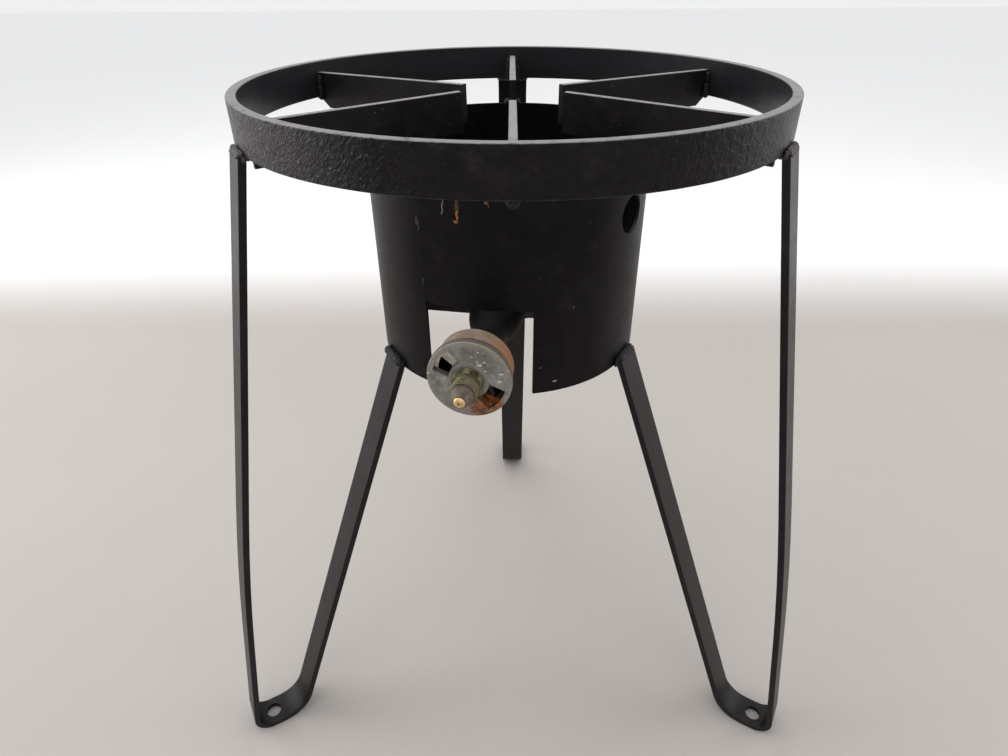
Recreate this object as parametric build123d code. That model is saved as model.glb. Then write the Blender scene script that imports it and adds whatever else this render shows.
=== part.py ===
from build123d import *
import os
from math import sin, cos, tan, radians, degrees, sqrt, asin, pi

os.makedirs("parts", exist_ok=True)

# ---------------------------------------------------------------------------
# Free-standing tripod burner stand for large stock pots.
# Millimetres, +Z up. Origin: on the floor, on the vertical axis of the pot
# ring. The three legs stand at 90, 210 and 330 degrees.
# ---------------------------------------------------------------------------

# pot ring: flat bar rolled on edge
H_TOP = 520.7            # top of the ring above the floor
RING_R = 177.8           # outer radius
RING_T = 6.35            # bar thickness
RING_H = 25.4            # bar height
EDGE = 0.8               # rolled corner of the flat bar

# six grate bars on edge, tops below the ring's top
BAR_T = 4.76
BAR_H = 25.4
BAR_DROP = 7.1
BAR_IN = 38.1            # radius of the inner ends
BAR_ANGLES = {
    "grate_bar_right_rear": 30, "grate_bar_rear": 90, "grate_bar_left_rear": 150,
    "grate_bar_left_front": 210, "grate_bar_front": 270, "grate_bar_right_front": 330,
}
BAR_CLIP = {30: 8.0, 90: 8.0, 150: 8.0, 210: 0.0, 270: 5.0, 330: 0.0}   # lower outer corner
BAR_FALL = {30: 0.0, 90: 0.0, 150: 0.008, 210: 0.036, 270: 0.0, 330: 0.030}  # slope, down outwards

# rolled sheet wind shroud
SH_X = -3.2              # its axis stands a little left of the ring's axis
SH_R = 96.84             # outer radius
SH_T = 1.9
SH_H = 152.4
SH_TOP = H_TOP - BAR_DROP - BAR_H
SH_BOT = SH_TOP - SH_H
SEAM_DEG = 236.6
SEAM_GAP = 0.6
NOTCH_DEG = 280.0        # other edge of the notch
NOTCH_H = 63.5
PROUD_FROM = 262.0       # the sheet's end runs flatter from here to the seam
PROUD_R = 110.0
LIGHT_DEG = 325.7        # round lighting hole
LIGHT_R = 12.7
LIGHT_Z = SH_BOT + 112.0

# hairpin legs: flat strap
LEG_W = 25.4
LEG_T = 4.76
LEG_TOP_R = 181.2             # outer face at the top end, which butts under the ring's outer edge
LEG_KNEE_R, LEG_KNEE_Z = 245.4, 182.0   # gentle knee of the outer arm, outer face
LEG_OUT_R0 = 273.0            # outer face, carried down to the floor
LEG_IN_R0 = 226.2             # inward face of the inner arm, at the floor
LEG_TOP_IN = SH_BOT + 3.2     # top end of the inner arm, on its inward face
LEG_FIT_UP = {90: 0.0, 210: -2.0, 330: 0.9}   # how each inner arm meets the shroud
FOOT_R_OUT = 15.0             # outside radius of the outer foot bend
FOOT_R_IN = 30.0              # outside radius of the inner foot bend
HOLE_R = 6.35
HOLE_PCR = 253.5              # foot holes, radius from the ring's axis

# burner: casting with bowl, venturi and bell
B_X, B_Y = -0.6, 0.0
B_Z = 377.8              # height of the venturi's axis
B_AZ = 260.0             # direction of the mouth
XB_W, XB_T = 25.4, 4.76  # cross bar under the burner
XB_TOP = 356.5
BOWL_R = 50.8
BELL_R = 23.6
BELL_X0, BELL_X1 = 125.4, 137.5
HUB_R, HUB_X0, HUB_X1 = 8.6, 127.0, 139.0
BELL_BORE = 20.8
LIP_R, LIP_W = 24.6, 2.2     # bead round the bell's mouth
BRIDGE_W, ARM_DEGS = 9.6, (139.0, -65.0)   # arms across the bell; angles from the observer's right towards up
CAP_Z0, CAP_T = 24.0, 6.0
BOLT_R = 3.97
BOLT_HOLE_R = 4.4

# air shutter and gas fitting
SHUT_R = 25.9
SHUT_X0, SHUT_X1 = 141.3, 145.6     # rim
SHUT_CROWN = 0.6
PIVOT_R = 5.0
PIVOT_CLEAR = 0.05
STEM_R = 4.86
HEX_AF = 17.46
HEX_X0, HEX_X1 = 146.35, 152.4
FLARE_R = 7.94
FLARE_X1 = 162.4
NOSE_X1 = 168.9
FIT_BORE_R = 3.5


def rot_to(shape, deg):
    return Rot(0, 0, deg) * shape


def put(name, shape):
    solids = [s for s in shape.solids()]
    out = solids[0] if len(solids) == 1 else Compound(children=solids)
    out.label = name
    export_step(out, "parts/" + name + ".step")
    return out


def profile_xz(points, y0, y1, radii=None):
    """Closed outline in X-Z, extruded from y0 to y1."""
    pl = Plane.XZ
    w = Polyline(*[(x, z) for x, z in points], close=True)
    f = pl * make_face(w)
    body = extrude(f, amount=(y1 - y0))
    bb = body.bounding_box()
    return Pos(0, y1 - bb.max.Y, 0) * body


# ---------------------------------------------------------------------------
# pot ring
# ---------------------------------------------------------------------------
ring_sec = Plane.XZ * Pos(RING_R - RING_T / 2, H_TOP - RING_H / 2) * RectangleRounded(RING_T, RING_H, EDGE)
top_ring = revolve(ring_sec, Axis.Z)
put("top_ring", top_ring)

ring_bore = Pos(0, 0, H_TOP - 60) * Cylinder(RING_R - RING_T, 140)

# ---------------------------------------------------------------------------
# grate bars
# ---------------------------------------------------------------------------
bar_top = H_TOP - BAR_DROP
bar_bot = bar_top - BAR_H
RIM_R = 95.9


def shroud_r(deg):
    """Radius, from the ring's axis, of the shroud's outside at an azimuth."""
    a = radians(deg)
    return SH_X * cos(a) + sqrt(SH_R ** 2 - (SH_X * sin(a)) ** 2)


def make_bar(deg):
    clip, fall = BAR_CLIP[deg], BAR_FALL[deg]
    r_end = RING_R - RING_T
    pts = [(BAR_IN, bar_bot), (r_end - clip, bar_bot)]
    if clip:
        pts.append((r_end, bar_bot + 6.9))
        pts.append((r_end + 1.5, bar_bot + 6.9))
    else:
        pts.append((r_end + 1.5, bar_bot))
    pts += [(r_end + 1.5, bar_top), (BAR_IN, bar_top)]
    body = profile_xz(pts, -BAR_T / 2, BAR_T / 2)
    body = fillet(body.edges().filter_by(Axis.X), 0.6)
    # each bar bears on the shroud's rim and falls a little towards the ring
    rim = shroud_r(deg) + 0.4
    body = Pos(rim, 0, bar_bot) * Rot(0, degrees(fall), 0) * Pos(-rim, 0, -bar_bot) * body
    body = body & ring_bore
    return rot_to(body, deg)


bars = {}
for nm, deg in BAR_ANGLES.items():
    bars[deg] = make_bar(deg)
    put(nm, bars[deg])

# ---------------------------------------------------------------------------
# wind shroud: sheet rolled round, butt seam, notch at one end, lighting hole
# ---------------------------------------------------------------------------


def pol(r, deg, cx=0.0, cy=0.0):
    return (cx + r * cos(radians(deg)), cy + r * sin(radians(deg)))


def sheet_outline(r_o, r_i, r2_o, r2_i):
    """Outline of the rolled sheet in plan, about its own axis."""
    rm = (r_o + r_i) / 2
    c2 = pol(-(PROUD_R - rm), PROUD_FROM)
    gap_deg = degrees(SEAM_GAP / rm)
    a_end = SEAM_DEG - gap_deg / 2           # left panel's edge
    arc_len = radians(PROUD_FROM - SEAM_DEG - gap_deg / 2) * rm
    b_end = PROUD_FROM - degrees(arc_len / PROUD_R)
    full = 360 - (PROUD_FROM - a_end)
    mid = PROUD_FROM + full / 2
    o1 = ThreePointArc(pol(r_o, PROUD_FROM), pol(r_o, mid), pol(r_o, PROUD_FROM + full))
    i1 = ThreePointArc(pol(r_i, PROUD_FROM), pol(r_i, mid), pol(r_i, PROUD_FROM + full))
    bm = (PROUD_FROM + b_end) / 2
    o2 = ThreePointArc(pol(r2_o, PROUD_FROM, *c2), pol(r2_o, bm, *c2), pol(r2_o, b_end, *c2))
    i2 = ThreePointArc(pol(r2_i, PROUD_FROM, *c2), pol(r2_i, bm, *c2), pol(r2_i, b_end, *c2))
    l1 = Line(o1 @ 1, i1 @ 1)
    l2 = Line(o2 @ 1, i2 @ 1)
    return make_face(Curve() + [o1, i1, o2, i2, l1, l2])


def box_at(x0, x1, y0, y1, z0, z1):
    return Pos((x0 + x1) / 2, (y0 + y1) / 2, (z0 + z1) / 2) * Box(x1 - x0, y1 - y0, z1 - z0)


plan = sheet_outline(SH_R, SH_R - SH_T, PROUD_R + SH_T / 2, PROUD_R - SH_T / 2)
shroud = Pos(0, 0, SH_BOT) * extrude(plan, amount=SH_H)
# notch: wedge in plan from the seam to NOTCH_DEG
wp = [(0, 0), pol(160, SEAM_DEG), pol(160, (SEAM_DEG + NOTCH_DEG) / 2), pol(160, NOTCH_DEG)]
wedge = Pos(0, 0, SH_BOT - 5) * extrude(make_face(Polyline(*wp, close=True)), amount=NOTCH_H + 5)
shroud = shroud - wedge
light_cut = Rot(0, 0, LIGHT_DEG) * Pos(SH_R, 0, LIGHT_Z) * Rot(0, 90, 0) * Cylinder(LIGHT_R, 30)
shroud = Pos(SH_X, 0, 0) * (shroud - light_cut)
put("wind_shroud", shroud)

sh_outer = Pos(SH_X, 0, SH_BOT + SH_H / 2) * Cylinder(SH_R, SH_H)
sh_inner = Pos(SH_X, 0, SH_BOT + SH_H / 2) * Cylinder(SH_R - SH_T, SH_H + 20)

# ---------------------------------------------------------------------------
# hairpin legs: strap swept along straight runs and tangent bends
# ---------------------------------------------------------------------------


def offset_pts(pts, d):
    """Corner points of the line string moved sideways by d, to its left."""
    out = []
    n = len(pts)
    for i in range(n):
        dirs = []
        if i > 0:
            dirs.append((pts[i][0] - pts[i - 1][0], pts[i][1] - pts[i - 1][1]))
        if i < n - 1:
            dirs.append((pts[i + 1][0] - pts[i][0], pts[i + 1][1] - pts[i][1]))
        nn = []
        for dx, dy in dirs:
            l = sqrt(dx * dx + dy * dy)
            nn.append((-dy / l, dx / l))
        if len(nn) == 1:
            out.append((pts[i][0] + nn[0][0] * d, pts[i][1] + nn[0][1] * d))
        else:
            bx, by = nn[0][0] + nn[1][0], nn[0][1] + nn[1][1]
            k = d * 2 / (bx * bx + by * by)
            out.append((pts[i][0] + bx * k, pts[i][1] + by * k))
    return out


def leg_points(deg):
    """Outside of the hairpin, from the ring's lower edge round to the shroud."""
    s_in = (LEG_IN_R0 - shroud_r(deg) - LEG_FIT_UP[deg]) / SH_BOT
    z_ring = H_TOP - RING_H
    s_out = (LEG_KNEE_R - LEG_TOP_R) / (z_ring - LEG_KNEE_Z)
    z_end = LEG_TOP_IN
    return [(LEG_TOP_R - s_out * 4.0, z_ring + 4.0), (LEG_KNEE_R, LEG_KNEE_Z), (LEG_OUT_R0, 0.0),
            (LEG_IN_R0, 0.0), (LEG_IN_R0 - s_in * z_end, z_end)]


def make_leg(deg):
    outer = leg_points(deg)                    # walks down, in, and up
    mid = offset_pts(outer, -LEG_T / 2)        # centre line of the strap
    radii = [2500.0, FOOT_R_OUT - LEG_T / 2, FOOT_R_IN - LEG_T / 2]
    path = FilletPolyline(*[(r, 0, z) for r, z in mid], radius=radii)
    start = path @ 0
    direction = path % 0
    sec_plane = Plane(origin=start, x_dir=(0, 1, 0), z_dir=direction)
    sec = sec_plane * RectangleRounded(LEG_W, LEG_T, EDGE)
    strap = sweep(sec, path=path)
    hole = Pos(HOLE_PCR, 0, 0) * Cylinder(HOLE_R, 30)
    strap = strap - hole
    strap = strap - Pos(LEG_TOP_R, 0, H_TOP - RING_H + 15) * Box(60, 60, 30)   # cut to the ring's underside
    strap = rot_to(strap, deg)
    strap = strap - sh_outer
    return strap


legs = {}
for nm, deg in {"leg_rear": 90, "leg_left": 210, "leg_right": 330}.items():
    legs[deg] = make_leg(deg)
    put(nm, legs[deg])

# ---------------------------------------------------------------------------
# burner, built along local +X and turned to B_AZ
# ---------------------------------------------------------------------------


def place(shape):
    return Pos(B_X, B_Y, B_Z) * Rot(0, 0, B_AZ) * shape


def rev_x(outline):
    """Revolve an (x, r) outline about local X."""
    f = make_face(outline)            # drawn in X-Y with y = radius
    return revolve(f, Axis.X)


def rev_z(pts, fil=None):
    f = Plane.XZ * make_face(Polyline(*pts, close=True))
    return revolve(f, Axis.Z)


# venturi skin and bore, smooth in and out of the throat
out_pts = [(30.0, 19.2), (58.0, 18.6), (71.0, 17.2), (79.0, 14.6), (87.0, 12.2), (97.0, 11.7), (108.0, 13.1), (116.5, 16.8), (124.0, 22.8)]
in_pts = [(30.0, 15.2), (58.0, 14.6), (71.0, 13.2), (79.0, 10.9), (87.0, 8.9), (97.0, 8.4), (107.0, 9.6), (114.5, 12.9), (121.5, 18.4)]
so = Spline(*out_pts, tangents=[(1, -0.01), (0.6, 0.8)])
si = Spline(*in_pts, tangents=[(1, -0.01), (0.7, 0.75)])
skin = make_face(Curve() + [
    so, Polyline((124.0, 22.8), (BELL_X0, BELL_R), (BELL_X1 - LIP_W - 0.8, BELL_R), (BELL_X1 - LIP_W, LIP_R), (BELL_X1 - 0.6, LIP_R), (BELL_X1, LIP_R - 0.6), (BELL_X1, 0)),
    Line((BELL_X1, 0), (30.0, 0)), Line((30.0, 0), (30.0, 19.2))])
tube_out = revolve(skin, Axis.X)
borf = make_face(Curve() + [
    si, Polyline((121.5, 18.4), (125.2, BELL_BORE), (BELL_X1 + 2, BELL_BORE), (BELL_X1 + 2, 0)),
    Line((BELL_X1 + 2, 0), (30.0, 0)), Line((30.0, 0), (30.0, 15.2))])
tube_in = revolve(borf, Axis.X)
tube_in_tail = Pos(20.0, 0, 0) * Rot(0, 90, 0) * Cylinder(15.2, 22.0)

# bowl, with its post and the foot that stands on the cross bar
foot_z = XB_TOP - B_Z
bowl_out = rev_z([(0, -19.2), (27, -19.2), (38, -15.0), (46.5, -5.5), (50.0, 7.0), (BOWL_R, 15.0), (BOWL_R, CAP_Z0), (0, CAP_Z0)])
bowl_in = rev_z([(0, -15.2), (25.5, -15.2), (35.8, -11.2), (43.0, -3.0), (45.8, 8.0), (46.4, 15.0), (46.4, CAP_Z0 + 1), (0, CAP_Z0 + 1)])
post = Pos(0, 0, (CAP_Z0 + foot_z) / 2) * Cylinder(9.0, CAP_Z0 - foot_z)
foot = Pos(0, 0, (-17.0 + foot_z) / 2) * Cylinder(13.0, -17.0 - foot_z)
bolt_hole = Cylinder(BOLT_HOLE_R, 120)

casting = bowl_out + foot + tube_out
casting = casting - bowl_in - tube_in - tube_in_tail
casting = casting + post
# two arms across the bell, carrying the threaded hub
arm = box_at(131.0, BELL_X1 - 0.4, -BRIDGE_W / 2, BRIDGE_W / 2, 0.0, 22.0)
bridge = Rot(ARM_DEGS[0] - 90, 0, 0) * arm + Rot(ARM_DEGS[1] - 90, 0, 0) * arm
hub = Pos((HUB_X0 + HUB_X1) / 2, 0, 0) * Rot(0, 90, 0) * Cylinder(HUB_R, HUB_X1 - HUB_X0)
casting = casting + bridge + hub
stem_hole = Pos(HUB_X0 + 5, 0, 0) * Rot(0, 90, 0) * Cylinder(STEM_R, 30)
casting = casting - stem_hole - bolt_hole
put("burner_casting", place(casting))

# port cap with rings of drilled ports
cap = rev_z([(0, CAP_Z0), (BOWL_R, CAP_Z0), (BOWL_R, CAP_Z0 + 3.0), (BOWL_R - 2.5, CAP_Z0 + CAP_T), (0, CAP_Z0 + CAP_T)])
lip = Pos(0, 0, CAP_Z0 - 1.5) * (Cylinder(46.1, 3.0) - Cylinder(43.6, 4.0))
ports = []
for rr, n, ph in ((18.0, 12, 0.0), (26.0, 18, 6.0), (34.0, 24, 0.0)):
    for k in range(n):
        ports.append(Pos(*pol(rr, 360.0 / n * k + ph), CAP_Z0 + 3) * Cylinder(1.35, 12))
cap = cap + lip - ports - bolt_hole
for k in range(24):
    slot_c = Rot(0, 0, 15.0 * k + 7.5) * box_at(40.0, 42.4, -2.2, 2.2, CAP_Z0 - 1, CAP_Z0 + CAP_T + 1)
    cap = cap - slot_c
put("burner_port_cap", place(cap))


def hexagon(af, h):
    return extrude(RegularPolygon(af / 2 / cos(pi / 6), 6), amount=h)


cap_top = CAP_Z0 + CAP_T
washer = Pos(0, 0, cap_top) * (extrude(Circle(9.5), amount=1.6) - extrude(Circle(BOLT_HOLE_R), amount=1.6))
put("bolt_washer", place(washer))
head_z = cap_top + 1.6
xb_bot = XB_TOP - XB_T - B_Z
lock_h, nut_h = 1.9, 6.75
bolt_end = xb_bot - lock_h - nut_h - 2.6
head = Pos(0, 0, head_z) * hexagon(12.7, 5.2)
crown = Pos(0, 0, head_z + 2.6) * Cylinder(7.25, 5.2)
head = head & (Pos(0, 0, head_z) * revolve(Plane.XZ * make_face(Polyline((0, 0), (7.4, 0), (7.4, 4.0), (6.2, 5.2), (0, 5.2), close=True)), Axis.Z))
shank = Pos(0, 0, (head_z + bolt_end) / 2) * Cylinder(BOLT_R, head_z - bolt_end)
put("burner_bolt", place(head + shank))
lockw = Pos(0, 0, xb_bot - lock_h) * (extrude(Circle(7.2), amount=lock_h) - extrude(Circle(BOLT_HOLE_R), amount=lock_h))
lockw = lockw - box_at(0, 9, -0.5, 0.5, xb_bot - lock_h - 1, xb_bot + 1)
put("burner_lock_washer", place(lockw))
nut = Pos(0, 0, xb_bot - lock_h - nut_h) * (hexagon(12.7, nut_h) - extrude(Circle(BOLT_R), amount=nut_h))
put("burner_nut", place(nut))

# cross bar: flat strap across the shroud, square to the venturi
xbar = box_at(-XB_W / 2, XB_W / 2, -120, 120, xb_bot, XB_TOP - B_Z)
xbar = fillet(xbar.edges().filter_by(Axis.Y), 0.8)
xbar = place(xbar - (Pos(0, 0, xb_bot) * Cylinder(BOLT_HOLE_R, 20))) & sh_inner
put("burner_cross_bar", xbar)

# ---------------------------------------------------------------------------
# air shutter: crowned disc with two windows, turning on the gas fitting
# ---------------------------------------------------------------------------
sh_face = make_face(Curve() + [
    Polyline((SHUT_X0, PIVOT_R + PIVOT_CLEAR), (SHUT_X0, SHUT_R - 0.5), (SHUT_X0 + 0.5, SHUT_R), (SHUT_X1 - 0.8, SHUT_R), (SHUT_X1, SHUT_R - 0.8)),
    ThreePointArc((SHUT_X1, SHUT_R - 0.8), (SHUT_X1 + SHUT_CROWN * 0.72, 16.0), (SHUT_X1 + SHUT_CROWN, 9.0)),
    Polyline((SHUT_X1 + SHUT_CROWN, 9.0), (SHUT_X1 + SHUT_CROWN, PIVOT_R + PIVOT_CLEAR), (SHUT_X0, PIVOT_R + PIVOT_CLEAR))])
shutter = revolve(sh_face, Axis.X)
WIN_R0, WIN_R1 = 12.3, 22.4
WIN_HALF_IN, WIN_HALF_OUT = 31.0, 22.5    # the sides run nearly parallel


def window(mid_deg):
    """Sector window; mid_deg counts from the observer's right towards up."""
    pts_o = [pol(WIN_R1, mid_deg + d) for d in (-WIN_HALF_OUT, 0, WIN_HALF_OUT)]
    pts_i = [pol(WIN_R0, mid_deg + d) for d in (WIN_HALF_IN, 0, -WIN_HALF_IN)]
    f = make_face(Curve() + [ThreePointArc(*pts_o), Line(pts_o[2], pts_i[0]), ThreePointArc(*pts_i), Line(pts_i[2], pts_o[0])])
    b = extrude(f, amount=20)
    return Plane.YZ.offset(SHUT_X0 - 8) * b


shutter = shutter - window(144.3) - window(-35.7)
put("air_shutter", place(shutter))

# dished friction washer between the hub and the shutter
fw = make_face(Polyline((HUB_X1, 5.3), (HUB_X1 + 0.6, 5.3), (SHUT_X0 - 0.05, 9.6), (SHUT_X0 - 0.65, 9.6), close=True))
put("friction_washer", place(revolve(fw, Axis.X)))

# gas fitting: stem, pivot, hexagon, flare thread and nose
fit_sec = make_face(Polyline(
    (HUB_X0 + 1.0, 0), (HUB_X0 + 1.0, STEM_R), (HUB_X1, STEM_R), (HUB_X1, PIVOT_R), (HEX_X0, PIVOT_R), (HEX_X0, 7.4),
    (HEX_X1 + 0.9, 7.4), (HEX_X1 + 0.9, 7.0), (HEX_X1 + 1.6, 7.0), (HEX_X1 + 1.9, FLARE_R), (FLARE_X1 - 0.7, FLARE_R), (FLARE_X1, FLARE_R - 0.8),
    (FLARE_X1 + 0.9, 7.0), (NOSE_X1 - 0.4, 4.5), (NOSE_X1, 4.2), (NOSE_X1, 0), close=True))
fitting = revolve(fit_sec, Axis.X)
hexa = Plane.YZ.offset(HEX_X0) * hexagon(HEX_AF, HEX_X1 - HEX_X0)
hexa = hexa & revolve(make_face(Polyline((HEX_X0, 0), (HEX_X0, 8.7), (HEX_X0 + 0.7, 9.6), (HEX_X1 - 0.9, 9.6), (HEX_X1, 8.7), (HEX_X1, 0), close=True)), Axis.X)
fitting = fitting + hexa
fitting = fitting - (Pos((HUB_X0 + NOSE_X1) / 2, 0, 0) * Rot(0, 90, 0) * Cylinder(1.6, 60))
fitting = fitting - (Pos((150.0 + NOSE_X1 + 2) / 2, 0, 0) * Rot(0, 90, 0) * Cylinder(FIT_BORE_R, NOSE_X1 + 2 - 150.0))
fitting = fitting - (Pos(HUB_X0 + 2.0, 0, 0) * Rot(0, 90, 0) * Cylinder(2.6, 12.0))
put("flare_fitting", place(fitting))

# brass insert in the nose, and brass orifice spud at the inner end
ins_sec = make_face(Curve() + [
    Polyline((151.0, 0.6), (151.0, FIT_BORE_R), (NOSE_X1 + 0.2, FIT_BORE_R)),
    ThreePointArc((NOSE_X1 + 0.2, FIT_BORE_R), (NOSE_X1 + 1.15, 2.45), (NOSE_X1 + 1.5, 0.6)),
    Line((NOSE_X1 + 1.5, 0.6), (151.0, 0.6))])
put("inlet_insert", place(revolve(ins_sec, Axis.X)))
spud_sec = make_face(Polyline((122.5, 0.7), (122.5, 2.0), (124.0, 3.9), (HUB_X0 + 1.0, 3.9), (HUB_X0 + 1.0, 2.6), (133.0, 2.6), (133.0, 0.7), close=True))
put("orifice_spud", place(revolve(spud_sec, Axis.X)))

# ---------------------------------------------------------------------------
# welds: each bead is what is left of a rod laid in its corner
# ---------------------------------------------------------------------------


def bead(p, q, r):
    """Round-ended rod from p to q."""
    p, q = Vector(*p), Vector(*q)
    d = q - p
    rod = Solid.make_cylinder(r, d.length, Plane(origin=p, z_dir=d))
    return Part() + rod + Pos(*p) * Sphere(r) + Pos(*q) * Sphere(r)


def radial(deg, r, off, z):
    a = radians(deg)
    return (r * cos(a) - off * sin(a), r * sin(a) + off * cos(a), z)


def all_solids(parts, small=0.5):
    out = []
    for p in parts:
        out += [s for s in p.solids() if s.volume > small]
    return Compound(children=out)


# bars to the ring: short runs in the inside corners, one high and one low
wb = []
for deg, b in bars.items():
    drop = tan(BAR_FALL[deg]) * (RING_R - RING_T - RIM_R)
    low = H_TOP - RING_H + {30: 1.0, 90: 3.2, 150: 1.0, 210: 3.2, 270: -1.5, 330: 3.2}[deg]
    high = bar_top - drop - 3.4
    for sgn in (-1, 1):
        r0 = RING_R - RING_T - 0.9
        o0 = sgn * (BAR_T / 2 + 0.9)
        w = bead(radial(deg, r0, o0, high - 3.6), radial(deg, r0, o0, high), 2.3)
        wb.append(w - top_ring - b)
        w = bead(radial(deg, r0, o0 * 1.05, low), radial(deg, r0, o0 * 1.05, low + 5.5), 3.0)
        wb.append(w - top_ring - b)
put("bar_to_ring_welds", all_solids(wb))

# bars to the shroud's rim, a tack each side
ws = []
for deg, b in bars.items():
    a = radians(deg)
    rr = shroud_r(deg) - SH_T / 2
    for sgn in (-1, 1):
        c = radial(deg, rr, sgn * (BAR_T / 2 + 1.4), bar_bot + 0.6)
        blob = Pos(*c) * Sphere(2.7)
        ws.append(blob - b - shroud)
put("bar_to_shroud_welds", all_solids(ws))

# outer arms to the ring: across the top end, round both edges and underneath
wl = []
for deg, lg in legs.items():
    zb = H_TOP - RING_H
    # the fillet's outline: from the strap's outer corner up to the ring's face
    w = bead(radial(deg, RING_R + 0.7, -LEG_W / 2 + 3.2, zb + 0.2), radial(deg, RING_R + 0.7, LEG_W / 2 - 3.2, zb + 0.2), 3.5)
    for sgn in (-1, 1):
        w = w + bead(radial(deg, RING_R + 0.4, sgn * (LEG_W / 2 - 0.8), zb + 0.9), radial(deg, RING_R + 0.7, sgn * (LEG_W / 2 - 0.8), zb - 1.4), 2.1)
    # underneath, between the ring's lower edge and the strap's inner face
    w = w + bead(radial(deg, LEG_TOP_R - LEG_T - 0.9, -LEG_W / 2 + 1.4, zb - 0.8), radial(deg, LEG_TOP_R - LEG_T - 0.9, LEG_W / 2 - 1.4, zb - 0.8), 2.2)
    wl.append(w - top_ring - lg)
put("leg_to_ring_welds", all_solids(wl, 3.0))

# inner arms to the shroud's lower edge
wi = []
for deg, lg in legs.items():
    rs = shroud_r(deg)
    zt = LEG_TOP_IN
    w = bead(radial(deg, rs + 1.4, -LEG_W / 2 + 2.6, zt + 0.1), radial(deg, rs + 1.4, LEG_W / 2 - 2.6, zt + 0.1), 3.7)
    for sgn in (-1, 1):
        # the strap is flat and the shroud round, so the gap grows to its edges
        edge_r = sqrt(SH_R ** 2 - (LEG_W / 2) ** 2) - SH_R
        w = w + bead(radial(deg, rs + edge_r + 1.6, sgn * (LEG_W / 2 - 0.4), SH_BOT + 1.2), radial(deg, rs + edge_r + 1.6, sgn * (LEG_W / 2 - 0.4), zt), 2.6)
    w = w - lg - shroud - sh_inner
    wi.append(w)
put("leg_to_shroud_welds", all_solids(wi, 3.0))

# tacks on the shroud's seam, on the outside
wt = []
seam_u = radians(SEAM_DEG)
for zz, ln in ((SH_BOT + 76.3, 3.0), (SH_BOT + 114.0, 4.0), (SH_TOP - 5.0, 5.0)):
    rr = SH_R + 0.0
    c0 = (SH_X + rr * cos(seam_u), rr * sin(seam_u), zz - ln / 2)
    c1 = (SH_X + rr * cos(seam_u), rr * sin(seam_u), zz + ln / 2)
    wt.append(bead(c0, c1, 1.7) - shroud - sh_inner)
put("shroud_seam_welds", all_solids(wt))

# cross bar to the shroud's inside, on top of each end
wx = []
for sgn in (-1, 1):
    a = radians(B_AZ + 90 * sgn)
    # end of the strap, on the shroud's inner wall
    ex, ey = cos(a), sin(a)
    ox, oy = B_X - SH_X, B_Y
    ri = SH_R - SH_T
    dd = -(ox * ex + oy * ey) + sqrt((ox * ex + oy * ey) ** 2 - (ox * ox + oy * oy - ri * ri))
    tx, ty = cos(radians(B_AZ)), sin(radians(B_AZ))
    px, py = B_X + (dd - 1.6) * ex, B_Y + (dd - 1.6) * ey
    p0 = (px - 9.0 * tx, py - 9.0 * ty, XB_TOP + 0.8)
    p1 = (px + 9.0 * tx, py + 9.0 * ty, XB_TOP + 0.8)
    w = (bead(p0, p1, 2.8) & sh_inner) - xbar
    wx.append(w)
put("cross_bar_welds", all_solids(wx))

print("ring top", H_TOP, "shroud", SH_BOT, SH_TOP, "bolt end z", B_Z + bolt_end)
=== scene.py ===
import bpy, bmesh, math
import numpy as np
from mathutils import Vector, Matrix, noise


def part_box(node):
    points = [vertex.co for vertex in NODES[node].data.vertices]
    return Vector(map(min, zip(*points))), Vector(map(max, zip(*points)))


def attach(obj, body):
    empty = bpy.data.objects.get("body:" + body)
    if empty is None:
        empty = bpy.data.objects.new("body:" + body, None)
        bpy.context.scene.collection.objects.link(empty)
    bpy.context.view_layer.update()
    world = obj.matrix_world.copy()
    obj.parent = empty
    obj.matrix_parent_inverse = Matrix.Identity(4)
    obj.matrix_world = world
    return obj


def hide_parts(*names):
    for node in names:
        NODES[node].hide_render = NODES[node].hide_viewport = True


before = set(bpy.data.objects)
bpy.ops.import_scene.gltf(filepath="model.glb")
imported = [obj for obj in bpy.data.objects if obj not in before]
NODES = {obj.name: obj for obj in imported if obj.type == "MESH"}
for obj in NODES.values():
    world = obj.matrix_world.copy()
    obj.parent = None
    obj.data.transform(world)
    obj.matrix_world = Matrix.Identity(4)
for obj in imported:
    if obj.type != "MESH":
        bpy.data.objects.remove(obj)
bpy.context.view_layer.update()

TAU = 2 * math.pi

# ---------------------------------------------------------------------------
# sizes repeated from the model, millimetres
# ---------------------------------------------------------------------------
H_TOP, RING_R, RING_T, RING_H, EDGE = 520.7, 177.8, 6.35, 25.4, 0.8
SH_X, SH_R, SH_TOP = -3.2, 96.84, 488.2
B_X, B_Y, B_Z, B_AZ = -0.6, 0.0, 377.8, math.radians(260.0)
ca, sa = math.cos(B_AZ), math.sin(B_AZ)
PLACE = Matrix(((ca, -sa, 0, B_X / 1000), (sa, ca, 0, B_Y / 1000), (0, 0, 1, B_Z / 1000), (0, 0, 0, 1)))


# ---------------------------------------------------------------------------
# mesh helpers
# ---------------------------------------------------------------------------
def new_object(name, verts, faces, smooth=True):
    me = bpy.data.meshes.new(name)
    me.from_pydata([tuple(v) for v in verts], [], faces)
    me.validate()
    me.update()
    o = bpy.data.objects.new(name, me)
    bpy.context.scene.collection.objects.link(o)
    if smooth:
        me.polygons.foreach_set("use_smooth", [True] * len(me.polygons))
    return o


def grid_faces(nu, nv, close_u=True, close_v=False):
    f = []
    for i in range(nu if close_u else nu - 1):
        i2 = (i + 1) % nu
        for j in range(nv if close_v else nv - 1):
            j2 = (j + 1) % nv
            f.append((i * nv + j, i2 * nv + j, i2 * nv + j2, i * nv + j2))
    return f


def fix_normals(o):
    bm = bmesh.new()
    bm.from_mesh(o.data)
    bmesh.ops.recalc_face_normals(bm, faces=bm.faces)
    bm.to_mesh(o.data)
    bm.free()


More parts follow.
